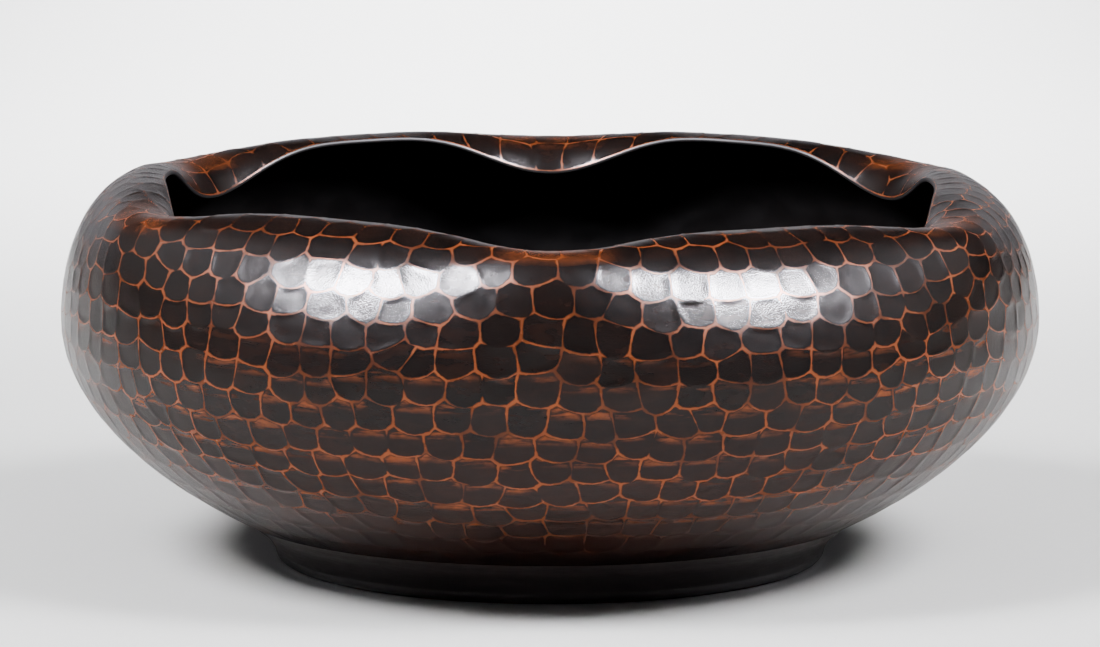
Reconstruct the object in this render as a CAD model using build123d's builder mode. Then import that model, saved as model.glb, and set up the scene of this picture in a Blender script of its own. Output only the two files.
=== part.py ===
from build123d import *
import os
from math import cos, hypot, pi, radians, sin

# A raised copper bowl: one sheet hammered into a base, a full belly and a lip that turns in as
# six lobes with a notch between each pair, standing on a low soldered foot ring.
# Origin: centre of the circle that the foot stands on. +Z is up. The notches lie at 0, 60, 120 ...
# degrees from +Y, so +Y and -Y each look at a notch. All sizes are in millimetres.

# Belly and base, measured on the outside of the sheet. A handle is the reach of the wall's curve
# along its tangent: level at the base, upright at the belly.
BELLY_RADIUS = 125.0
BELLY_HEIGHT = 62.5
WALL = 1.4
BASE_RADIUS = 60.0
BASE_HEIGHT = 6.0
BASE_KICK = 1.5
BASE_HANDLE = 15.5
BELLY_HANDLE = 31.0

# Lip: the crest is the top of the turned-in sheet, and the edge is where the sheet ends. The
# reaches are the curve's handles at those points, and edge_slope is its fall at the edge.
LOBES = 6
NOTCH_NARROWING = 2.1
LIP_LEAN = 2.5
LOBE = {
    "rise": 19.5,
    "crest_radius": 103.0,
    "crest_height": 97.8,
    "crest_reach_out": 13.0,
    "crest_reach_in": 1.8,
    "edge_radius": 98.5,
    "edge_height": 97.2,
    "edge_reach": 1.8,
    "edge_slope": 10.0,
}
NOTCH = {
    "rise": 10.5,
    "crest_radius": 114.5,
    "crest_height": 94.5,
    "crest_reach_out": 11.5,
    "crest_reach_in": 7.8,
    "edge_radius": 101.5,
    "edge_height": 86.5,
    "edge_reach": 6.0,
    "edge_slope": 62.0,
}

# Foot ring: a thick ring with a rounded lower edge, flaring out to a flange under the bowl. The
# waist is where the rounded edge ends and the flare begins.
FOOT_RADIUS = 70.2
FOOT_WALL = 5.0
FOOT_DRAFT = 0.8
FOOT_OUTER_ROUND = 2.6
FOOT_INNER_ROUND = 0.8
FOOT_WAIST_RADIUS = 70.6
FOOT_WAIST_HEIGHT = 2.9
FOOT_HOLLOW = 0.6
FLANGE_RADIUS = 76.0
FLANGE_EDGE = 0.8

# Solder that holds the foot: a film on the flange, running out to a fillet on each side
SOLDER_FILM = 0.15
SOLDER_OUTER_REACH = 3.6
SOLDER_INNER_REACH = 1.8
SOLDER_HOLLOW = 0.1
FIT_GAP = 0.04

# The underside of the bowl is followed in this many straight steps where the foot fits it
FIT_STEPS = 10

# The wall is lofted through this many radial sections of each lobe. The base disc runs a little
# way into the wall, just under its surfaces, so that the two join cleanly.
SECTIONS_PER_LOBE = 8
BASE_OVERLAP = 1.5
BASE_INSET = 0.05

os.makedirs("parts", exist_ok=True)


def bezier_point(controls, u):
    """Point at u on a cubic curve given by four (radius, height) controls."""
    weights = ((1 - u) ** 3, 3 * u * (1 - u) ** 2, 3 * u * u * (1 - u), u**3)
    return tuple(sum(w * p[axis] for w, p in zip(weights, controls)) for axis in (0, 1))


LOWER_CURVE = (
    (BASE_RADIUS, BASE_HEIGHT),
    (BASE_RADIUS + BASE_HANDLE, BASE_HEIGHT),
    (BELLY_RADIUS, BELLY_HEIGHT - BELLY_HANDLE),
    (BELLY_RADIUS, BELLY_HEIGHT),
)


def upper_curves(lip):
    """Controls of the shoulder curve and the lip curve above the belly, at a lobe or a notch."""
    crest = (lip["crest_radius"], lip["crest_height"])
    edge = (lip["edge_radius"], lip["edge_height"])
    slope = radians(lip["edge_slope"])
    shoulder = (
        (BELLY_RADIUS, BELLY_HEIGHT),
        (BELLY_RADIUS, BELLY_HEIGHT + lip["rise"]),
        (crest[0] + lip["crest_reach_out"], crest[1]),
        crest,
    )
    turn = (
        crest,
        (crest[0] - lip["crest_reach_in"], crest[1]),
        (edge[0] + lip["edge_reach"] * cos(slope), edge[1] + lip["edge_reach"] * sin(slope)),
        edge,
    )
    return shoulder, turn


def leaned(point, angle):
    """Raise the front of the lip on one side and lower it on the other. The back stays level."""
    radius, height = point
    climb = max(0.0, (height - BELLY_HEIGHT) / (LOBE["crest_height"] - BELLY_HEIGHT)) ** 2
    front = (1 - cos(angle)) / 2
    return radius, height - LIP_LEAN * sin(angle) * front * climb


def outer_curves(angle):
    """Controls of the three curves up the outside of the sheet, at an angle from +Y."""
    notch_share = ((1 + cos(LOBES * angle)) / 2) ** NOTCH_NARROWING
    curves = [LOWER_CURVE]
    for lobe_curve, notch_curve in zip(upper_curves(LOBE), upper_curves(NOTCH)):
        blended = [
            (
                (1 - notch_share) * lobe_point[0] + notch_share * notch_point[0],
                (1 - notch_share) * lobe_point[1] + notch_share * notch_point[1],
            )
            for lobe_point, notch_point in zip(lobe_curve, notch_curve)
        ]
        curves.append([leaned(point, angle) for point in blended])
    return curves


def moved_in(curve):
    """The same curve one sheet thickness further in, with its handles scaled to its new length."""
    start, start_handle, end_handle, end = curve

    def beside(point, run, climb):
        length = hypot(run, climb)
        return point[0] - WALL * climb / length, point[1] + WALL * run / length

    start_run = (start_handle[0] - start[0], start_handle[1] - start[1])
    end_run = (end[0] - end_handle[0], end[1] - end_handle[1])
    new_start = beside(start, *start_run)
    new_end = beside(end, *end_run)
    chord = hypot(end[0] - start[0], end[1] - start[1])
    scale = hypot(new_end[0] - new_start[0], new_end[1] - new_start[1]) / chord
    return (
        new_start,
        (new_start[0] + start_run[0] * scale, new_start[1] + start_run[1] * scale),
        (new_end[0] - end_run[0] * scale, new_end[1] - end_run[1] * scale),
        new_end,
    )


def skin_height(radius):
    """Height of the underside of the bowl at a radius between the base and the belly."""
    low, high = 0.0, 1.0
    while high - low > 1e-9:
        middle = (low + high) / 2
        if bezier_point(LOWER_CURVE, middle)[0] < radius:
            low = middle
        else:
            high = middle
    return bezier_point(LOWER_CURVE, low)[1]


def under_skin(start_radius, end_radius, gap):
    """Points a gap below the underside of the bowl, from one radius to another."""
    step = (end_radius - start_radius) / FIT_STEPS
    radii = [start_radius + index * step for index in range(FIT_STEPS + 1)]
    return [(radius, skin_height(radius) - gap) for radius in radii]


def wall_section(angle):
    """The closed outline of the sheet where a radial plane cuts it."""
    outer = outer_curves(angle)
    radial = Plane(
        origin=(0, 0, 0),
        x_dir=(sin(angle), cos(angle), 0),
        z_dir=(cos(angle), -sin(angle), 0),
    )
    with BuildSketch(radial) as section:
        with BuildLine():
            outside = [Bezier(*curve) for curve in outer]
            inside = [Bezier(*moved_in(curve)) for curve in outer]
            Line(outside[0] @ 0, inside[0] @ 0)
            edge_middle = (outside[-1] @ 1 + inside[-1] @ 1) / 2 + (outside[-1] % 1) * (WALL / 2)
            ThreePointArc(outside[-1] @ 1, edge_middle, inside[-1] @ 1)
        make_face()
    return section.sketch.face()


# Bowl shell: a closed ring of wall sections, and the base disc that fills its middle
section_count = LOBES * SECTIONS_PER_LOBE
wall_sections = [wall_section(2 * pi * index / section_count) for index in range(section_count)]
disc_radius = BASE_RADIUS + BASE_OVERLAP
disc_level = skin_height(disc_radius)

with BuildPart() as bowl_shell:
    loft(sections=wall_sections + wall_sections[:1])
    with BuildSketch(Plane.XZ):
        with BuildLine():
            under = Spline(
                (0, BASE_HEIGHT + BASE_KICK),
                (disc_radius, disc_level + BASE_INSET),
                tangents=((1, 0), (1, 0)),
            )
            over = Spline(
                (0, BASE_HEIGHT + BASE_KICK + WALL),
                (disc_radius, disc_level + WALL - BASE_INSET),
                tangents=((1, 0), (1, 0)),
            )
            Line(under @ 0, over @ 0)
            Line(under @ 1, over @ 1)
        make_face()
    revolve(axis=Axis.Z)
bowl_shell.part.label = "bowl_shell"

# Foot ring
foot_inner = FOOT_RADIUS - FOOT_WALL
foot_top = under_skin(FLANGE_RADIUS, foot_inner + FOOT_DRAFT, SOLDER_FILM + FIT_GAP)
flange_corner = (FLANGE_RADIUS, foot_top[0][1] - FLANGE_EDGE)
foot_inside_corner = foot_top[-1]
waist = (FOOT_WAIST_RADIUS, FOOT_WAIST_HEIGHT)


def bottom_corners(profile):
    """The profile's lowest vertices, from the inside out."""
    return profile.vertices().group_by(Axis.Y)[0].sort_by(Axis.X)


with BuildPart() as foot_ring:
    with BuildSketch(Plane.XZ) as foot_profile:
        with BuildLine():
            Polyline(foot_inside_corner, (foot_inner, 0), (FOOT_RADIUS, 0), waist)
            SagittaArc(waist, flange_corner, FOOT_HOLLOW)
            Polyline(flange_corner, *foot_top)
        make_face()
        fillet(bottom_corners(foot_profile)[0], FOOT_INNER_ROUND)
        fillet(bottom_corners(foot_profile)[-1], FOOT_OUTER_ROUND)
    revolve(axis=Axis.Z)
foot_ring.part.label = "foot_ring"

# Foot solder
solder_top = under_skin(
    foot_inside_corner[0] - SOLDER_INNER_REACH, FLANGE_RADIUS + SOLDER_OUTER_REACH, FIT_GAP
)
inner_drop = SOLDER_INNER_REACH / foot_inside_corner[1]
solder_foot = (
    foot_inside_corner[0] - FOOT_DRAFT * inner_drop,
    foot_inside_corner[1] * (1 - inner_drop),
)

with BuildPart() as foot_solder:
    with BuildSketch(Plane.XZ):
        with BuildLine():
            Polyline(*solder_top)
            SagittaArc(flange_corner, solder_top[-1], SOLDER_HOLLOW)
            Polyline(flange_corner, *foot_top, solder_foot)
            SagittaArc(solder_top[0], solder_foot, SOLDER_HOLLOW)
        make_face()
    revolve(axis=Axis.Z)
foot_solder.part.label = "foot_solder"

export_step(bowl_shell.part, "parts/bowl_shell.step")
export_step(foot_ring.part, "parts/foot_ring.step")
export_step(foot_solder.part, "parts/foot_solder.step")
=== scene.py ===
from math import atan2, cos, hypot, pi, radians, sin, tan

import bpy
import numpy as np
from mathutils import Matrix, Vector, geometry, kdtree


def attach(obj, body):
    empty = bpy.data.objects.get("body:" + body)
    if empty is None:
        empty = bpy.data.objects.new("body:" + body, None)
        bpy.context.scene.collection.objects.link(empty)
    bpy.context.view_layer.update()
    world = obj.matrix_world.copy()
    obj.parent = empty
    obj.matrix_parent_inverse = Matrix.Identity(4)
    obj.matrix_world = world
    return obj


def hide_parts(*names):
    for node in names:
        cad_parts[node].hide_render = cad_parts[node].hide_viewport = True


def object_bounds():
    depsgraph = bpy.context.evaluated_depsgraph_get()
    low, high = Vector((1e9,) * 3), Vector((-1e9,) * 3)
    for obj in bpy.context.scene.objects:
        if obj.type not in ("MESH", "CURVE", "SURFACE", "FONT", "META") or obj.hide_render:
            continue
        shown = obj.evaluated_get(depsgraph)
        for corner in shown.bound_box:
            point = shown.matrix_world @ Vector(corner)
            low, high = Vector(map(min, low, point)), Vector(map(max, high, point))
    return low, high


# A raised copper bowl. The shell is rebuilt here with every hammer facet in its mesh; the foot
# ring and its solder keep their CAD shapes and get better materials. Lengths are in metres.

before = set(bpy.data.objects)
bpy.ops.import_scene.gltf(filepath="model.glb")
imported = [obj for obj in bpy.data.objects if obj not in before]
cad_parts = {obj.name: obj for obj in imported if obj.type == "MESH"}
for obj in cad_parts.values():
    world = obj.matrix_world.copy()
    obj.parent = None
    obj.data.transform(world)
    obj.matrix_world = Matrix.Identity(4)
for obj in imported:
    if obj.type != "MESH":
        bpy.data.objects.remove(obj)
cad_low, cad_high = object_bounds()

MM = 0.001
FULL_TURN = 2 * pi

# The form of the shell, as in the CAD part
BELLY_RADIUS = 125.0 * MM
BELLY_HEIGHT = 62.5 * MM
WALL = 1.4 * MM
BASE_RADIUS = 60.0 * MM
BASE_HEIGHT = 6.0 * MM
BASE_KICK = 1.5 * MM
BASE_HANDLE = 15.5 * MM
BELLY_HANDLE = 31.0 * MM
LOBES = 6
NOTCH_NARROWING = 2.1
LIP_LEAN = 2.5 * MM
LOBE = {
    "rise": 19.5 * MM,
    "crest": (103.0 * MM, 97.8 * MM),
    "reach_out": 13.0 * MM,
    "reach_in": 1.8 * MM,
    "edge": (98.5 * MM, 97.2 * MM),
    "edge_reach": 1.8 * MM,
    "edge_slope": radians(10.0),
}
NOTCH = {
    "rise": 10.5 * MM,
    "crest": (114.5 * MM, 94.5 * MM),
    "reach_out": 11.5 * MM,
    "reach_in": 7.8 * MM,
    "edge": (101.5 * MM, 86.5 * MM),
    "edge_reach": 6.0 * MM,
    "edge_slope": radians(62.0),
}

# Where the hammer landed. Scatters and drifts are shares of a facet's width. The rows grow
# taller towards the foot, and the drift carries them up and down in slow waves round the bowl.
FACET_WIDTH = 9.2 * MM
FACET_HEIGHT = 7.5 * MM
FACET_STRETCH = FACET_WIDTH / FACET_HEIGHT
FACET_START_RADIUS = 80.2 * MM
SIDE_SCATTER = 0.13
ROW_SCATTER = 0.09
ROW_DRIFT = 0.30
DRIFT_WAVES = (3, 5, 11)
DRIFT_TWIST = 0.5
LOW_ROW_GROWTH = 0.38

# The sides between facets: how far they bow towards the foot, at the top of the wall and how
# much more at its bottom, and how strong a ridge each has. An upright side is faintest at its
# low end, and gains towards its high end.
BOW = 0.12
TOP_BOW = 0.4
EXTRA_LOW_BOW = 1.1
BOW_SCATTER = 0.035
SMALLEST_SIDE = 0.09
RIDGE_STRENGTHS = (0.85, 0.68, 0.45)
RIDGE_SHARES = (0.62, 0.26, 0.12)
CORNER_STRENGTH = 0.82
UPRIGHT_FAINTNESS = 0.35
HIGH_END_GAIN = 0.45
SIDE_STEP = 2.0 * MM

# The facets. Ridges lie CREST_DEPTH under the skin of the sheet, and the other depths are
# measured down from the ridges. TILT is how far a facet usually leans.
CREST_DEPTH = 0.03 * MM
RIDGE_HALF_WIDTH = 0.60 * MM
RIDGE_DROP = 0.06 * MM
SMALLEST_DROP = 0.7 * RIDGE_DROP
DISH = 0.04 * MM
INNER_DISH_SHARE = 0.7
DEEPEST_FLAT = 0.15 * MM
TILT = radians(1.4)
INNER_FACET = 0.55
ROUNDING_PASSES = 2

# The blows are mirrored at both ends of the wall and repeated past one turn, over so many widths
MIRROR_WIDTHS = 3.2
OVERLAP_WIDTHS = 4

# Tolerances on the map: for two points that are one, and for a corner at an end of the wall
SAME_POINT = 1e-9
LEVEL = 1e-6

# The inside: faint waves. Their phases from the base to the edge are in radians, and they fade
# out over one part in RIPPLE_FADE of the way at either end.
RIPPLE = 0.07 * MM
RIPPLES_ROUND = 34
TWIST_PHASE = 60
CLIMB_PHASE = 120
RIPPLE_FADE = 12

# How finely the smooth surfaces are described. The lower steps of the table end well below the
# belly. A direction is measured over the turn step, in radians, and over the climb step, a share
# of the way up.
CURVE_SAMPLES = 161
TABLE_ANGLES = 720
TABLE_STEPS = 600
LOWER_STEPS = 200
TURN_STEP = 0.004
CLIMB_STEP = 0.003
INSIDE_ROWS = 46
FLOOR_ROWS = 14
UNDER_ROWS = 9
EDGE_ROWS = 4

rng = np.random.default_rng(7)


# ---------------------------------------------------------------- the form of the shell


def cubic(controls, u):
    """Points at u on cubic curves. controls is (..., 4, 2); the result is (..., len(u), 2)."""
    u = u[:, None]
    start, start_handle, end_handle, end = (controls[..., None, k, :] for k in range(4))
    return (
        (1 - u) ** 3 * start
        + 3 * u * (1 - u) ** 2 * start_handle
        + 3 * u * u * (1 - u) * end_handle
        + u**3 * end
    )


def lip_controls(lip):
    """Shoulder curve and turned-in curve above the belly, at a lobe or a notch."""
    crest, edge = lip["crest"], lip["edge"]
    handle = (
        edge[0] + lip["edge_reach"] * cos(lip["edge_slope"]),
        edge[1] + lip["edge_reach"] * sin(lip["edge_slope"]),
    )
    shoulder = [
        (BELLY_RADIUS, BELLY_HEIGHT),
        (BELLY_RADIUS, BELLY_HEIGHT + lip["rise"]),
        (crest[0] + lip["reach_out"], crest[1]),
        crest,
    ]
    turn = [crest, (crest[0] - lip["reach_in"], crest[1]), handle, edge]
    return np.array([shoulder, turn])


def notch_share(angles):
    """How far the lip is from a lobe, 0, to a notch, 1, at each angle from +Y."""
    return ((1 + np.cos(LOBES * np.asarray(angles))) / 2) ** NOTCH_NARROWING


def wall_controls(angles):
    """Controls of the three curves up the outside of the sheet, at each angle from +Y."""
    share = notch_share(angles)[:, None, None, None]
    upper = (1 - share) * lip_controls(LOBE) + share * lip_controls(NOTCH)
    climb = np.clip((upper[..., 1] - BELLY_HEIGHT) / (LOBE["crest"][1] - BELLY_HEIGHT), 0, None)
    lean = (LIP_LEAN * np.sin(angles) * (1 - np.cos(angles)) / 2)[:, None, None]
    upper[..., 1] -= lean * climb**2
    lower = np.array(
        [
            (BASE_RADIUS, BASE_HEIGHT),
            (BASE_RADIUS + BASE_HANDLE, BASE_HEIGHT),
            (BELLY_RADIUS, BELLY_HEIGHT - BELLY_HANDLE),
            (BELLY_RADIUS, BELLY_HEIGHT),
        ]
    )
    lower = np.broadcast_to(lower, (len(angles), 1, 4, 2))
    return np.concatenate([lower, upper], axis=1)


class Skin:
    """The outside of the sheet, as a table over angle and over the share of the way up."""

    def __init__(self):
        angles = np.arange(TABLE_ANGLES) * FULL_TURN / TABLE_ANGLES
        along = cubic(wall_controls(angles), np.linspace(0, 1, CURVE_SAMPLES))
        path = np.concatenate([along[:, 0], along[:, 1, 1:], along[:, 2, 1:]], axis=1)
        steps = np.hypot(np.diff(path[..., 0], axis=1), np.diff(path[..., 1], axis=1))
        reach = np.concatenate([np.zeros((TABLE_ANGLES, 1)), np.cumsum(steps, axis=1)], axis=1)
        share = np.linspace(0, 1, TABLE_STEPS + 1)
        self.share = share
        self.table = np.stack(
            [
                np.stack([np.interp(share * r[-1], r, p[:, axis]) for axis in (0, 1)], axis=1)
                for r, p in zip(reach, path)
            ]
        )
        self.length = reach[:, -1].mean()
        self.radius = self.table[..., 0].mean(axis=0)

    def profile(self, angle, share):
        """Radius and height where angle and share point."""
        a = np.mod(angle, FULL_TURN) / FULL_TURN * TABLE_ANGLES
        s = np.clip(share, 0, 1) * TABLE_STEPS
        a0 = np.floor(a).astype(int)
        s0 = np.minimum(np.floor(s).astype(int), TABLE_STEPS - 1)
        fa, fs = (a - a0)[..., None], (s - s0)[..., None]
        a0, a1 = a0 % TABLE_ANGLES, (a0 + 1) % TABLE_ANGLES
        low = (1 - fa) * self.table[a0, s0] + fa * self.table[a1, s0]
        high = (1 - fa) * self.table[a0, s0 + 1] + fa * self.table[a1, s0 + 1]
        return (1 - fs) * low + fs * high

    def directions(self, angle, share):
        """Points on the sheet, with the outward and the upward direction at each."""
        angle, share = np.broadcast_arrays(np.asarray(angle, float), np.asarray(share, float))

        def at(a, s):
            radius, height = np.moveaxis(self.profile(a, s), -1, 0)
            return np.stack([radius * np.sin(a), radius * np.cos(a), height], axis=-1)

        above, below = (np.clip(share + step, 0, 1) for step in (CLIMB_STEP, -CLIMB_STEP))
        up = at(angle, above) - at(angle, below)
        along = at(angle + TURN_STEP, share) - at(angle - TURN_STEP, share)
        outward = np.cross(up, along)
        outward /= np.linalg.norm(outward, axis=-1, keepdims=True)
        up /= np.linalg.norm(up, axis=-1, keepdims=True)
        return at(angle, share), outward, up

    def place(self, angle, share, depth=CREST_DEPTH):
        """Points under the sheet's outside by depth, along its normal."""
        points, outward, _ = self.directions(angle, share)
        return points - outward * np.asarray(depth)[..., None]


# ---------------------------------------------------------------- the pattern of hammer blows


class Blows:
    """Where the hammer landed: rings of blows up the wall, and the cells that they leave.

    Cells are worked out on a flat map whose x is the angle and whose y, the climb, goes up the
    wall, stretched so that a cell is as wide as it is high.
    """

    def __init__(self, skin):
        self.skin = skin
        first = np.interp(
            FACET_START_RADIUS, skin.radius[:LOWER_STEPS], skin.share[:LOWER_STEPS]
        )
        keep = skin.share >= first
        self.share = np.append(first, skin.share[keep])
        radius = np.interp(self.share, skin.share, skin.radius)
        steps = np.diff(self.share) * skin.length / ((radius[1:] + radius[:-1]) / 2)
        self.climb = np.append(0.0, np.cumsum(steps)) * FACET_STRETCH
        self.top = self.climb[-1]
        self.seeds = self.rings()
        self.cells()

    def to_share(self, climb):
        return np.interp(climb, self.climb, self.share)

    def to_radius(self, climb):
        return np.interp(self.to_share(climb), self.skin.share, self.skin.radius)

    def rings(self):
        """Blow centres: each ring has as many as fit round it, none of them quite even."""
        length = (1 - self.share[0]) * self.skin.length
        ring_count = round(length / FACET_HEIGHT)
        drift_phase = rng.uniform(0, FULL_TURN, len(DRIFT_WAVES))
        seeds = []
        for ring in range(ring_count):
            way_up = (ring + 0.5) / ring_count
            way_up += LOW_ROW_GROWTH * way_up * (1 - way_up) ** 2
            share = self.share[0] + (1 - self.share[0]) * way_up
            climb = np.interp(share, self.share, self.climb)
            spacing = FACET_WIDTH / self.to_radius(climb)
            count = round(FULL_TURN / spacing)
            start = rng.uniform(0, 1)
            inside = 0 < ring < ring_count - 1
            for blow in range(count):
                angle = (blow + start + rng.normal(0, SIDE_SCATTER)) * FULL_TURN / count
                drift = sum(
                    np.sin(waves * angle + phase + DRIFT_TWIST * ring)
                    for waves, phase in zip(DRIFT_WAVES, drift_phase)
                )
                shift = rng.normal(0, ROW_SCATTER)
                if inside:
                    shift += ROW_DRIFT * drift / len(DRIFT_WAVES)
                seeds.append((angle % FULL_TURN, climb + shift * spacing))
        return np.array(seeds)

    def with_copies(self):
        """The blow centres, mirrored at both ends of the wall and repeated past one turn.

        Returns points on the map and, for each, the number of its blow. Mirrored blows have
        numbers past the last blow's.
        """
        count = len(self.seeds)
        margin = OVERLAP_WIDTHS * FACET_WIDTH / FACET_START_RADIUS
        band = MIRROR_WIDTHS * FACET_WIDTH / FACET_START_RADIUS
        points, owners = [], []
        for turn in (-FULL_TURN, 0, FULL_TURN):
            for index, (angle, climb) in enumerate(self.seeds):
                if not -margin < angle + turn < FULL_TURN + margin:
                    continue
                points.append((angle + turn, climb))
                owners.append(index)
                if climb < band:
                    points.append((angle + turn, -climb))
                    owners.append(count + index)
                if climb > self.top - band:
                    points.append((angle + turn, 2 * self.top - climb))
                    owners.append(2 * count + index)
        return points, owners

    def cells(self):
        """Finds each blow's cell: the corners round it, in order, from one shared list."""
        count = len(self.seeds)
        points, owners = self.with_copies()
        found = geometry.delaunay_2d_cdt([Vector(p) for p in points], [], [], 0, SAME_POINT)
        corners = [np.array(v) for v in found[0]]
        sources = [owners[ids[0]] for ids in found[3]]
        centres, around = [], [[] for _ in range(count)]
        for face in found[2]:
            a, b, c = (corners[i] for i in face)
            middle = circumcentre(a, b, c)
            for i, corner in zip(face, (a, b, c)):
                if sources[i] < count and 0 <= corner[0] < FULL_TURN:
                    offset = middle - corner
                    around[sources[i]].append((atan2(offset[1], offset[0]), len(centres)))
            centres.append(middle)
        centres = np.array(centres)
        number, first = self.merge(centres)
        self.corners = np.array([centres[i] for i in first])
        self.on_bottom = np.abs(self.corners[:, 1]) < LEVEL
        self.on_top = np.abs(self.corners[:, 1] - self.top) < LEVEL
        loops = []
        for ring in around:
            loop = []
            for _, index in sorted(ring):
                corner = number[index]
                if not loop or loop[-1] != corner:
                    loop.append(corner)
            if loop[0] == loop[-1]:
                loop.pop()
            loops.append(loop)
        used = sorted({corner for loop in loops for corner in loop})
        renumbered = {corner: place for place, corner in enumerate(used)}
        self.corners = self.corners[used]
        self.on_bottom = self.on_bottom[used]
        self.on_top = self.on_top[used]
        self.loops = [[renumbered[corner] for corner in loop] for loop in loops]

    def merge(self, centres):
        """Joins corners that lie closer together than the smallest side a facet may have.

        Returns each corner's new number, and the corner that each new number keeps.
        """
        radius = self.to_radius(np.clip(centres[:, 1], 0, self.top))
        near = SMALLEST_SIDE * FACET_WIDTH / radius
        wrapped = [(cos(x), sin(x), y) for x, y in centres]
        from_end = np.minimum(np.abs(centres[:, 1]), np.abs(centres[:, 1] - self.top))
        tree = kdtree.KDTree(len(centres))
        for index, point in enumerate(wrapped):
            tree.insert(point, index)
        tree.balance()
        number = [-1] * len(centres)
        first = []
        for index in np.argsort(from_end > LEVEL, kind="stable"):
            if number[index] >= 0:
                continue
            for _, other, _ in tree.find_range(wrapped[index], near[index]):
                if number[other] < 0:
                    number[other] = len(first)
            first.append(index)
        return number, first


def circumcentre(a, b, c):
    """Centre of the circle through three points of the plane."""
    ab, ac = b - a, c - a
    cross = 2 * (ab[0] * ac[1] - ab[1] * ac[0])
    ab2, ac2 = ab @ ab, ac @ ac
    offset = np.array([ac[1] * ab2 - ab[1] * ac2, ab[0] * ac2 - ac[0] * ab2]) / cross
    return a + offset


# ---------------------------------------------------------------- the mesh of the shell

# The two sides of the sheet, numbered as their materials are
OUTSIDE, INSIDE = 0, 1
MIDDLE_TONE = 0.5


def add_object(name, data):
    """A new object in the scene."""
    made = bpy.data.objects.new(name, data)
    bpy.context.scene.collection.objects.link(made)
    return made


class Mesh:
    """Gathers points, faces and the marks that the materials read.

    At each point, ridge is the strength of the ridge there, rise is how far up its facet the
    point lies, notch is its share of a notch, and edge is 1 on the sheet's rounded edge. Each
    face has a tone, which is the same all over a facet.
    """

    def __init__(self):
        self.points = []
        self.faces = []
        self.sides = []
        self.tones = []
        self.marks = {"ridge": [], "rise": [], "notch": [], "edge": []}

    def add(self, points, **marks):
        first = len(self.points)
        self.points.extend(points)
        for name, values in self.marks.items():
            values.extend(np.broadcast_to(marks.get(name, 0.0), len(points)))
        return list(range(first, first + len(points)))

    def face(self, corners, side, tone=MIDDLE_TONE):
        self.faces.append(corners)
        self.sides.append(side)
        self.tones.append(tone)

    def strip(self, before, after, side, tone=MIDDLE_TONE):
        """Faces between two closed rings of points. On the map, the second is on the left."""
        for a, b, c, d in zip(before, turned(before), turned(after), after):
            self.face((d, c, b, a), side, tone)

    def fan(self, ring, hub, side, tone=MIDDLE_TONE):
        """Faces between a closed ring of points and a hub. On the map, the hub is on the left."""
        for a, b in zip(ring, turned(ring)):
            self.face((hub, b, a), side, tone)

    def object(self, name, materials):
        data = bpy.data.meshes.new(name)
        data.from_pydata([tuple(p) for p in self.points], [], self.faces)
        for material in materials:
            data.materials.append(material)
        data.polygons.foreach_set("material_index", self.sides)
        data.polygons.foreach_set("use_smooth", [True] * len(self.faces))
        for mark, values in self.marks.items():
            data.attributes.new(mark, "FLOAT", "POINT").data.foreach_set("value", values)
        data.attributes.new("tone", "FLOAT", "FACE").data.foreach_set("value", self.tones)
        data.update()
        return add_object(name, data)


def turned(ring):
    """The same ring, starting one place later."""
    return ring[1:] + ring[:1]


def nearest_turn(angle):
    """The same angle, between minus and plus half a turn."""
    return (angle + pi) % FULL_TURN - pi


def facet_borders(blows):
    """Points along every side between two corners, bowed towards the foot as later blows cut
    into earlier ones. Returns the points, how strong the ridge is at each, and which points lie
    between each pair of corners.
    """
    spots, strengths, between = [], [], {}
    for loop in blows.loops:
        for a, b in zip(loop, turned(loop)):
            pair = (min(a, b), max(a, b))
            if pair in between:
                continue
            start, end = blows.corners[pair[0]], blows.corners[pair[1]]
            turn, climb = nearest_turn(end[0] - start[0]), end[1] - start[1]
            scale = blows.to_radius((start[1] + end[1]) / 2)
            across, up = turn * scale, climb * scale / FACET_STRETCH
            length = hypot(across, up)
            pieces = max(1, round(length / SIDE_STEP))
            low_share = 1 - (start[1] + end[1]) / 2 / blows.top
            swell = BOW * (TOP_BOW + EXTRA_LOW_BOW * low_share) * abs(across)
            swell += rng.normal(0, BOW_SCATTER) * length
            if any(border[list(pair)].all() for border in (blows.on_top, blows.on_bottom)):
                swell = 0.0
            down = -1.0 if across > 0 else 1.0
            strength = rng.choice(RIDGE_STRENGTHS, p=RIDGE_SHARES)
            between[pair] = []
            for piece in range(1, pieces):
                t = piece / pieces
                push = 4 * t * (1 - t) * swell * down / length
                spot = (
                    start[0] + t * turn - push * up / scale,
                    start[1] + t * climb + push * across * FACET_STRETCH / scale,
                )
                between[pair].append(len(spots))
                spots.append(spot)
                from_low_end = t if up > 0 else 1 - t
                upright = abs(up) / length
                loss = upright * (UPRIGHT_FAINTNESS - HIGH_END_GAIN * from_low_end)
                strengths.append(strength * (1 - loss))
    return np.array(spots), np.array(strengths), between


def inset(ring):
    """A facet's own rim: the cell's outline with rounded corners, half a ridge further in."""
    rounded = ring
    for _ in range(ROUNDING_PASSES):
        before, after = np.roll(rounded, 1, axis=0), np.roll(rounded, -1, axis=0)
        rounded = rounded / 2 + (before + after) / 4
    inward = ring.mean(axis=0) - rounded
    return rounded + inward * RIDGE_HALF_WIDTH / np.linalg.norm(inward, axis=1, keepdims=True)


def sunk(points, middle, facing, tilt, depth):
    """Points of the sheet pressed down onto a facet's own plane, and always below its ridges.

    Where the sheet turns sharply the facet keeps part of the sheet's curve.
    """
    away = points - middle
    drop = np.maximum(away @ facing + depth - away @ tilt, SMALLEST_DROP)
    deepest = drop.max()
    if deepest > DEEPEST_FLAT:
        allowed = DEEPEST_FLAT - RIDGE_DROP
        drop = RIDGE_DROP + (drop - RIDGE_DROP) * allowed / (deepest - RIDGE_DROP)
    return points - drop[:, None] * facing


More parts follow.
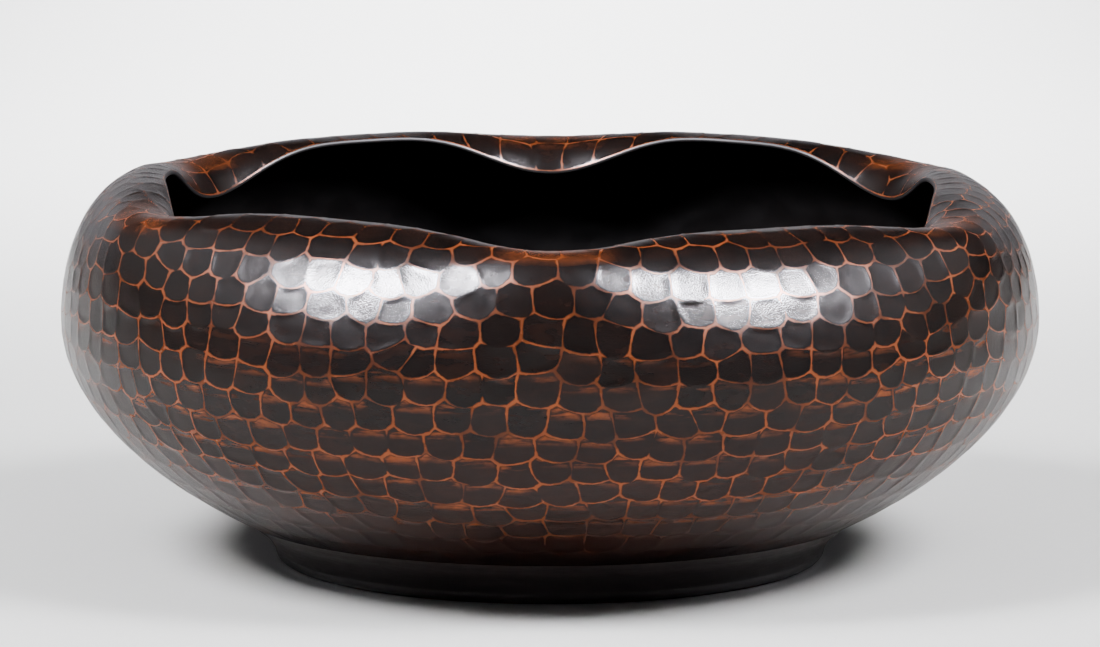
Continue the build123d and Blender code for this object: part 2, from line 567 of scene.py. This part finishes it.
def outline(loop, between, first_spot):
    """Every point along the sides between a loop of corners, in order."""
    ring = []
    for a, b in zip(loop, turned(loop)):
        side = between[(min(a, b), max(a, b))]
        ring.append(a)
        ring.extend(first_spot + spot for spot in (side if a < b else side[::-1]))
    return ring


def hammer_outside(mesh, skin, blows):
    """The facets. Returns the rings of points along their lower and upper ends."""
    spots, strengths, between = facet_borders(blows)
    where = np.concatenate([blows.corners, spots])
    strengths = np.concatenate([np.full(len(blows.corners), CORNER_STRENGTH), strengths])
    crest = skin.place(where[:, 0], blows.to_share(where[:, 1]))
    crest_ids = mesh.add(crest, ridge=strengths, notch=notch_share(where[:, 0]))
    first_spot = len(blows.corners)
    for (angle, climb), loop in zip(blows.seeds, blows.loops):
        ring = outline(loop, between, first_spot)
        scale = blows.to_radius(climb)
        flat = np.stack(
            [
                nearest_turn(where[ring, 0] - angle) * scale,
                (where[ring, 1] - climb) * scale / FACET_STRETCH,
            ],
            axis=1,
        )
        rim = inset(flat)
        centre = flat.mean(axis=0)
        inner = centre + (rim - centre) * INNER_FACET
        local = np.concatenate([rim, inner, centre[None]])
        angles = angle + local[:, 0] / scale
        heights = blows.to_share(climb + local[:, 1] * FACET_STRETCH / scale)
        on_skin = skin.place(angles, heights)
        corners = crest[ring]
        middle = corners.mean(axis=0)
        facing = np.cross(np.roll(corners, -1, axis=0) - middle, corners - middle).sum(axis=0)
        facing /= np.linalg.norm(facing)
        tilt = rng.normal(0, tan(TILT), 3)
        tilt -= (tilt @ facing) * facing
        count = len(ring)
        depth = np.full(len(local), RIDGE_DROP)
        depth[count:] += INNER_DISH_SHARE * DISH
        depth[-1] += (1 - INNER_DISH_SHARE) * DISH
        points = sunk(on_skin, middle, facing, tilt, depth)
        rise = (local[:, 1] - centre[1]) / np.abs(rim[:, 1] - centre[1]).max()
        ids = mesh.add(points, rise=rise, notch=notch_share(angles))
        tone = rng.uniform()
        crest_ring, rim_ring = [crest_ids[i] for i in ring], ids[:count]
        inner_ring, hub = ids[count : 2 * count], ids[-1]
        mesh.strip(crest_ring, rim_ring, OUTSIDE, tone)
        mesh.strip(rim_ring, inner_ring, OUTSIDE, tone)
        mesh.fan(inner_ring, hub, OUTSIDE, tone)
    rings = []
    for ring in open_rings(blows.loops):
        ids = [crest_ids[i] for i in outline(ring, between, first_spot)]
        start, after = (where[ring[place], 0] for place in (0, 1))
        rings.append(ids if nearest_turn(after - start) > 0 else ids[::-1])
    return sorted(rings, key=lambda ids: mesh.points[ids[0]][2])


def open_rings(loops):
    """Corners along each open border of the facets, in order."""
    sides = {side for loop in loops for side in zip(loop, turned(loop))}
    upward = {a: b for a, b in sides if (b, a) not in sides}
    rings = []
    while upward:
        start, corner = upward.popitem()
        ring = [start]
        while corner != start:
            ring.append(corner)
            corner = upward.pop(corner)
        rings.append(ring)
    return rings


def ring_angles(mesh, ring):
    """Angles from +Y of a ring's points."""
    return np.array([atan2(mesh.points[i][0], mesh.points[i][1]) for i in ring])


def disc_rings(mesh, angles, thickness):
    """Rings of points from the base circle to the middle of the base, and the middle itself."""
    rings = []
    for row in range(1, FLOOR_ROWS):
        share = 1 - row / FLOOR_ROWS
        radius = BASE_RADIUS * share
        height = BASE_HEIGHT + thickness + BASE_KICK * (1 - share * share * (3 - 2 * share))
        level = np.full(len(angles), height)
        ring = np.stack([radius * np.sin(angles), radius * np.cos(angles), level], axis=1)
        rings.append(mesh.add(ring))
    hub = mesh.add([(0.0, 0.0, BASE_HEIGHT + thickness + BASE_KICK)])[0]
    return rings, hub


def underside(mesh, skin, first_share, ring):
    """The plain middle of the bottom, inside the foot."""
    angles = ring_angles(mesh, ring)
    rows = [ring]
    for share in np.linspace(first_share, 0, UNDER_ROWS + 1)[1:]:
        rows.append(mesh.add(skin.place(angles, share)))
    discs, hub = disc_rings(mesh, angles, 0.0)
    rows += discs
    for outer, inner in zip(rows, rows[1:]):
        mesh.strip(inner, outer, OUTSIDE)
    for a, b in zip(rows[-1], turned(rows[-1])):
        mesh.face((a, b, hub), OUTSIDE)


def edge_and_inside(mesh, skin, ring):
    """The rounded edge of the sheet, and the inside of the bowl down to its middle."""
    angles = ring_angles(mesh, ring)
    point, outward, up = skin.directions(angles, 1.0)
    notch = notch_share(angles)
    rows = [ring]
    for row in range(1, EDGE_ROWS + 1):
        turn = pi * row / EDGE_ROWS
        offset = outward * (cos(turn) - 1) + up * sin(turn)
        rows.append(mesh.add(point + offset * WALL / 2, notch=notch, edge=1.0))
    for before, after in zip(rows, rows[1:]):
        mesh.strip(before, after, OUTSIDE)
    last = rows[-1]
    for share in 1 - np.linspace(0, 1, INSIDE_ROWS + 1)[1:]:
        fade = min(1.0, RIPPLE_FADE * (1 - share), RIPPLE_FADE * share)
        round_the_bowl = np.sin(RIPPLES_ROUND * angles + TWIST_PHASE * share)
        ripple = RIPPLE * fade * round_the_bowl * sin(CLIMB_PHASE * share)
        row = mesh.add(skin.place(angles, share, WALL + ripple))
        mesh.strip(last, row, INSIDE)
        last = row
    discs, hub = disc_rings(mesh, angles, WALL)
    for row in discs:
        mesh.strip(last, row, INSIDE)
        last = row
    mesh.fan(last, hub, INSIDE)


def bowl_shell(materials):
    """The whole raised sheet as one closed mesh."""
    skin = Skin()
    blows = Blows(skin)
    mesh = Mesh()
    bottom, top = hammer_outside(mesh, skin, blows)
    underside(mesh, skin, blows.share[0], bottom)
    edge_and_inside(mesh, skin, top)
    return mesh.object("hammered_shell", materials)


# ---------------------------------------------------------------- materials


def colour(red, green, blue):
    return red, green, blue, 1.0


NOISE_ROUGHNESS = 0.55
DIMPLE_SMOOTHNESS = 0.35

DARKEST_FACET = colour(0.0042, 0.0026, 0.0022)
PALEST_FACET = colour(0.0086, 0.0048, 0.0040)
# A painted reflection of the pale floor, blended into the lower facets
PAINTED_FLOOR_REFLECTION = colour(0.0165, 0.0060, 0.0040)
CLOUDED_FACET = colour(0.026, 0.009, 0.005)
DULL_COPPER = colour(0.082, 0.015, 0.0034)
BRIGHT_COPPER = colour(0.30, 0.072, 0.014)
DARK_SMEAR = colour(0.085, 0.018, 0.005)
BRIGHT_SMEAR = colour(0.27, 0.066, 0.015)
INSIDE_DARK = colour(0.0035, 0.0020, 0.0016)
INSIDE_PALE = colour(0.0080, 0.0040, 0.0030)
FOOT_DARK = colour(0.014, 0.010, 0.009)
FOOT_PALE = colour(0.034, 0.020, 0.015)
FOOT_WORN = colour(0.24, 0.080, 0.030)
SOLDER_DARK = colour(0.017, 0.013, 0.012)
SOLDER_PALE = colour(0.040, 0.030, 0.026)
PAPER_DARK = colour(0.90, 0.90, 0.91)
PAPER_PALE = colour(0.93, 0.93, 0.94)

# Heights at which the look changes: where each change starts, and where it is complete
RIDGES_THIN_OUT = (30 * MM, 80 * MM)
# Ridges fade below these heights: partly less rubbing, partly painted shade near the foot
RIDGES_LESS_WORN_AND_SHADED_BELOW = (18 * MM, 40 * MM)
RIDGES_FADE = (95.4 * MM, 97.2 * MM)
SMEARS_START = (19 * MM, 32 * MM)
SMEARS_FADE = (58 * MM, 76 * MM)
LIP_STARTS = (91.5 * MM, 93.2 * MM)
# The lower facets' painted floor reflection grows down the wall and starts just above the foot
PAINTED_REFLECTION_GROWS_DOWN = (62 * MM, 34 * MM)
PAINTED_REFLECTION_STARTS = (14 * MM, 26 * MM)
SHINE_GROWS = (20 * MM, 84 * MM)
FOOT_WEAR_FADES = (0.2 * MM, 1.0 * MM)
LINE_SHARPNESS = 4.5


class Nodes:
    """A node tree while it is made: adds nodes and joins them up."""

    def __init__(self, tree):
        self.tree = tree

    def node(self, kind, inputs=None, **settings):
        """A new node with these inputs, which are values or other nodes' outputs."""
        made = self.tree.nodes.new("ShaderNode" + kind)
        for name, value in settings.items():
            setattr(made, name, value)
        for name, value in (inputs or {}).items():
            self.join(made.inputs[name], value)
        return made

    def join(self, socket, value):
        if isinstance(value, bpy.types.NodeSocket):
            self.tree.links.new(value, socket)
        else:
            socket.default_value = value

    def math(self, operation, a, b=0.0, c=0.0, clamp=False):
        inputs = {0: a, 1: b, 2: c}
        return self.node("Math", inputs, operation=operation, use_clamp=clamp).outputs[0]

    def span(self, value, start, end, low=0.0, high=1.0):
        """Eases from low to high as value goes from start to end."""
        inputs = {"Value": value, "From Min": start, "From Max": end}
        inputs |= {"To Min": low, "To Max": high}
        return self.node("MapRange", inputs, interpolation_type="SMOOTHSTEP").outputs["Result"]

    def times(self, *factors):
        """The product of two or more values."""
        product = factors[0]
        for factor in factors[1:]:
            product = self.math("MULTIPLY", product, factor)
        return product


class Surface(Nodes):
    """A material while it is made."""

    def __init__(self, name):
        self.material = bpy.data.materials.new(name)
        self.material.use_nodes = True
        super().__init__(self.material.node_tree)
        self.shader = self.tree.nodes["Principled BSDF"]
        self.position = self.node("TexCoord").outputs["Object"]
        self.height = self.node("SeparateXYZ", {"Vector": self.position}).outputs["Z"]

    def set(self, **values):
        for name, value in values.items():
            self.join(self.shader.inputs[name.replace("_", " ")], value)

    def mark(self, name):
        """What the mesh says about each point or face."""
        return self.node("Attribute", attribute_name=name).outputs["Fac"]

    def noise(self, size, detail=3.0, squash=1.0):
        """Noise with features about size across, and squash times flatter than wide."""
        stretched = {"Vector": self.position, "Scale": (1.0, 1.0, squash)}
        where = self.node("Mapping", stretched).outputs["Vector"]
        inputs = {"Vector": where, "Scale": 1 / size, "Detail": detail}
        inputs["Roughness"] = NOISE_ROUGHNESS
        return self.node("TexNoise", inputs).outputs["Fac"]

    def dimples(self, size):
        """Rounded hollows about size across, with soft ridges between them."""
        inputs = {"Vector": self.position, "Scale": 1 / size, "Smoothness": DIMPLE_SMOOTHNESS}
        return self.node("TexVoronoi", inputs, feature="SMOOTH_F1").outputs["Distance"]

    def blend(self, factor, a, b):
        """Colour a where factor is 0, and colour b where it is 1."""
        made = self.node("Mix", data_type="RGBA")
        self.join(made.inputs["Factor"], factor)
        self.join(made.inputs[6], a)
        self.join(made.inputs[7], b)
        return made.outputs[2]

    def bump(self, height, distance, under=None):
        """A bump of this height map, on top of another bump if there is one under it."""
        inputs = {"Height": height, "Distance": distance, "Strength": 1.0}
        if under is not None:
            inputs["Normal"] = under
        return self.node("Bump", inputs).outputs["Normal"]


def hammered_patina():
    """Near-black patina in the facets, rubbed back to orange copper along the ridges."""
    s = Surface("hammered_patina")
    ridge, rise, notch, edge, tone = (
        s.mark(name) for name in ("ridge", "rise", "notch", "edge", "tone")
    )

    # Bare copper along the ridges, ragged, and fainter in places and on the lip. Towards the foot
    # they fade, partly because they are rubbed less there and partly as painted shade.
    ragged = s.times(s.math("SUBTRACT", s.noise(2.6 * MM), 0.5), 0.50)
    start = s.span(s.height, *RIDGES_THIN_OUT, 0.54, 0.565)
    over = s.math("SUBTRACT", s.math("ADD", ridge, ragged), start)
    sharp = s.math("MULTIPLY_ADD", over, LINE_SHARPNESS, 0.5, clamp=True)
    worn = s.span(s.noise(15 * MM, 3.0), 0.36, 0.58, 0.34, 1.0)
    less_worn_and_shaded_near_foot = s.span(s.height, *RIDGES_LESS_WORN_AND_SHADED_BELOW, 0.14, 1.0)
    near_crest = s.span(s.height, *RIDGES_FADE, 1.0, 0.40)
    line = s.times(sharp, worn, less_worn_and_shaded_near_foot, near_crest)

    # Brown smears under the ridges of the lower wall, and a rubbed patch at each notch
    streak = s.span(s.noise(9 * MM, 4.0, squash=6.0), 0.44, 0.62)
    upper = s.span(rise, 0.15, 0.9)
    rising = s.span(s.height, *SMEARS_START)
    falling = s.span(s.height, *SMEARS_FADE, 1.0, 0.0)
    patch = s.span(s.noise(26 * MM, 2.0), 0.34, 0.52)
    smear = s.times(s.times(streak, upper), s.times(rising, falling), patch)
    on_lip = s.span(s.height, *LIP_STARTS)
    mottle = s.span(s.noise(7 * MM, 3.0, squash=2.0), 0.32, 0.68, 0.04, 0.44)
    rub = s.times(on_lip, s.span(notch, 0.60, 0.95), mottle)

    # Patina in the facets: each has its own tone. Low on the wall they are painted lighter and
    # browner, a painted reflection of the pale floor that stops just above the foot.
    facet = s.blend(tone, DARKEST_FACET, PALEST_FACET)
    painted_floor_reflection = s.span(s.height, *PAINTED_REFLECTION_GROWS_DOWN, 0.0, 0.55)
    painted_reflection_above_foot = s.span(s.height, *PAINTED_REFLECTION_STARTS)
    facet = s.blend(s.times(painted_floor_reflection, painted_reflection_above_foot), facet, PAINTED_FLOOR_REFLECTION)
    cloud = s.span(s.noise(6 * MM, 5.0, squash=2.5), 0.40, 0.75)
    facet = s.blend(s.times(cloud, 0.30), facet, CLOUDED_FACET)
    copper = s.blend(s.noise(5 * MM, 4.0), DULL_COPPER, BRIGHT_COPPER)
    smeared = s.blend(s.noise(2 * MM), DARK_SMEAR, BRIGHT_SMEAR)
    shade = s.blend(s.times(smear, 0.95), facet, smeared)
    shade = s.blend(s.times(rub, 0.9), shade, smeared)
    shade = s.blend(line, shade, copper)

    fine = s.noise(0.32 * MM, 2.0)
    grain = s.noise(2.4 * MM, 2.0)
    bare = s.math("MAXIMUM", line, rub)
    gloss = s.math("MULTIPLY_ADD", grain, 0.05, 0.18)
    gloss = s.math("MULTIPLY_ADD", edge, 0.35, gloss)
    s.set(
        Base_Color=shade,
        Roughness=s.math("MULTIPLY_ADD", bare, 0.10, gloss),
        Metallic=s.times(bare, 0.15),
        Specular_IOR_Level=s.span(s.height, *SHINE_GROWS, 0.05, 0.22),
        Normal=s.bump(grain, 0.008 * MM, under=s.bump(fine, 0.045 * MM)),
    )
    return s.material


def inner_patina():
    """The inside: the same dark patina, left duller, over the backs of the hammer marks."""
    s = Surface("inner_patina")
    cloud = s.noise(14 * MM, 4.0)
    grain = s.noise(1.4 * MM, 3.0)
    hammered = s.bump(s.dimples(FACET_WIDTH), 0.8 * MM)
    s.set(
        Base_Color=s.blend(cloud, INSIDE_DARK, INSIDE_PALE),
        Roughness=s.span(cloud, 0.2, 0.8, 0.52, 0.68),
        Metallic=0.0,
        Specular_IOR_Level=0.03,
        Normal=s.bump(grain, 0.03 * MM, under=hammered),
    )
    return s.material


def plain_patina(name, dark, pale, roughness):
    """The foot and its solder: plain dark patina with soft marks round it, worn at the floor."""
    s = Surface(name)
    turning = s.noise(4 * MM, 4.0, squash=9.0)
    cloud = s.noise(11 * MM, 4.0)
    scuff = s.span(s.times(turning, cloud), 0.30, 0.48)
    low = s.span(s.height, *FOOT_WEAR_FADES, 1.0, 0.0)
    worn = s.times(low, s.span(s.noise(8 * MM, 4.0), 0.42, 0.66))
    shade = s.blend(s.times(scuff, 0.6), dark, pale)
    s.set(
        Base_Color=s.blend(s.times(worn, 0.7), shade, FOOT_WORN),
        Roughness=s.span(turning, 0.2, 0.8, roughness - 0.07, roughness + 0.07),
        Metallic=0.0,
        Normal=s.bump(turning, 0.03 * MM, under=s.bump(s.noise(0.5 * MM), 0.01 * MM)),
    )
    return s.material


def paper():
    """The pale sheet that the bowl stands on."""
    s = Surface("pale_sheet")
    fibre = s.noise(3 * MM, 4.0)
    s.set(
        Base_Color=s.blend(fibre, PAPER_DARK, PAPER_PALE),
        Roughness=0.75,
        Specular_IOR_Level=0.0,
        Normal=s.bump(fibre, 0.02 * MM),
    )
    return s.material


# ---------------------------------------------------------------- the object

shell = bowl_shell([hammered_patina(), inner_patina()])
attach(shell, "root")
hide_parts("bowl_shell")

for node, material in (
    ("foot_ring", plain_patina("foot_patina", FOOT_DARK, FOOT_PALE, 0.45)),
    ("foot_solder", plain_patina("solder_patina", SOLDER_DARK, SOLDER_PALE, 0.50)),
):
    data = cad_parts[node].data
    data.materials.clear()
    data.materials.append(material)


# ---------------------------------------------------------------- studio

FLOOR_HALF = 6.0
CAMERA_DISTANCE = 1.7265
CAMERA_HEIGHT = 0.3197
CAMERA_TILT = radians(8.554)
CAMERA_LENS = 223.1
SENSOR_WIDTH = 36.0
CLIP_END = 30.0

# Each of the two lamps is a pair: a key, which lights without a reflection, and a shine, which
# is seen only in reflections. Beyond each pair is a scrim, a wide, dim panel that is also seen
# only in reflections. Spreads are in degrees.
KEY_PLACES = {"left": (-0.65, -0.49, 0.92), "right": (0.68, -0.46, 0.92)}
KEY_SIZE = (0.42, 0.42)
KEY_SPREAD = 70
KEY_POWER = 3.8
SHINE_PLACES = {"left": (-0.765, -0.598, 0.79), "right": (0.80, -0.56, 0.77)}
SHINE_SIZE = (0.25, 0.25)
SHINE_POWER = 240.0
SHINE_COLOUR = (0.93, 0.91, 1.0)
SCRIM_PLACES = {"left": (-1.53, 0.0, 0.85), "right": (1.60, 0.0, 0.85)}
SCRIM_SIZE = (1.4, 1.4)
SCRIM_POWER = 5.0
OPEN_SPREAD = 180

# A light for the floor behind the bowl, and a large one overhead for the whole floor
BEHIND_PLACE = (0.0, 1.25, 1.0)
BEHIND_TARGET = (0.0, 1.25, 0.0)
BEHIND_SIZE = (0.5, 1.5)
BEHIND_SPREAD = 60
BEHIND_POWER = 18.0
FILL_PLACE = (0.0, 0.0, 2.2)
FILL_TARGET = (0.0, 0.01, 0.0)
FILL_SIZE = (3.2, 3.2)
FILL_POWER = 16.0

# The backdrop is brightest low down, at the back, and from the middle to the left: along each
# axis it eases from nothing at the first value to full at the second.
BACKDROP_SPANS = {"Z": (0.55, 0.12), "Y": (0.05, 0.95), "X": (0.95, -0.05)}
BACKDROP_LIGHT = 0.62
ROOM_LIGHT = 0.012
ROOM_COLOUR = (0.95, 0.94, 1.0, 1.0)


def floor():
    """A pale floor, large enough to fill the view."""
    corners = [(-1, -1), (1, -1), (1, 1), (-1, 1)]
    data = bpy.data.meshes.new("floor")
    points = [(x * FLOOR_HALF, y * FLOOR_HALF, cad_low.z) for x, y in corners]
    data.from_pydata(points, [], [(0, 1, 2, 3)])
    data.materials.append(paper())
    made = add_object("floor", data)


def softbox(name, place, target, size, spread, power, gloss):
    """A rectangular light with a grid that keeps its beam near a target point.

    It is seen only in reflections if gloss is true, and otherwise lights without one.
    """
    data = bpy.data.lights.new(name, "AREA")
    data.shape = "RECTANGLE"
    data.size, data.size_y = size
    data.spread = radians(spread)
    data.energy = power
    made = add_object(name, data)
    made.location = place
    made.rotation_euler = (Vector(target) - Vector(place)).to_track_quat("-Z", "Y").to_euler()
    made.visible_glossy = gloss
    made.visible_diffuse = not gloss
    return made


def camera():
    """The camera, at the photograph's viewing angle."""
    data = bpy.data.cameras.new("camera")
    data.sensor_width = SENSOR_WIDTH
    data.lens = CAMERA_LENS
    data.clip_end = CLIP_END
    made = add_object("camera", data)
    made.location = (0.0, -CAMERA_DISTANCE, CAMERA_HEIGHT)
    made.rotation_euler = (pi / 2 - CAMERA_TILT, 0.0, 0.0)
    bpy.context.scene.camera = made


def surroundings():
    """A dim room, with a pale backdrop low down behind the bowl."""
    world = bpy.data.worlds.new("studio")
    world.use_nodes = True
    nodes = Nodes(world.node_tree)
    where = nodes.node("TexCoord").outputs["Generated"]
    parts = nodes.node("SeparateXYZ", {"Vector": where}).outputs
    shares = [nodes.span(parts[axis], *ends) for axis, ends in BACKDROP_SPANS.items()]
    strength = nodes.math("MULTIPLY_ADD", nodes.times(*shares), BACKDROP_LIGHT, ROOM_LIGHT)
    background = world.node_tree.nodes["Background"]
    nodes.join(background.inputs["Color"], ROOM_COLOUR)
    nodes.join(background.inputs["Strength"], strength)
    bpy.context.scene.world = world


floor()
surroundings()
middle = (cad_low + cad_high) / 2
for side in ("left", "right"):
    softbox(side + "_key", KEY_PLACES[side], middle, KEY_SIZE, KEY_SPREAD, KEY_POWER, False)
    place = SHINE_PLACES[side]
    shine = softbox(side + "_shine", place, middle, SHINE_SIZE, OPEN_SPREAD, SHINE_POWER, True)
    shine.data.color = SHINE_COLOUR
    place = SCRIM_PLACES[side]
    softbox(side + "_scrim", place, middle, SCRIM_SIZE, OPEN_SPREAD, SCRIM_POWER, True)
softbox(
    "backdrop_light",
    BEHIND_PLACE,
    BEHIND_TARGET,
    BEHIND_SIZE,
    BEHIND_SPREAD,
    BEHIND_POWER,
    False,
)
softbox("fill_light", FILL_PLACE, FILL_TARGET, FILL_SIZE, OPEN_SPREAD, FILL_POWER, False)
camera()
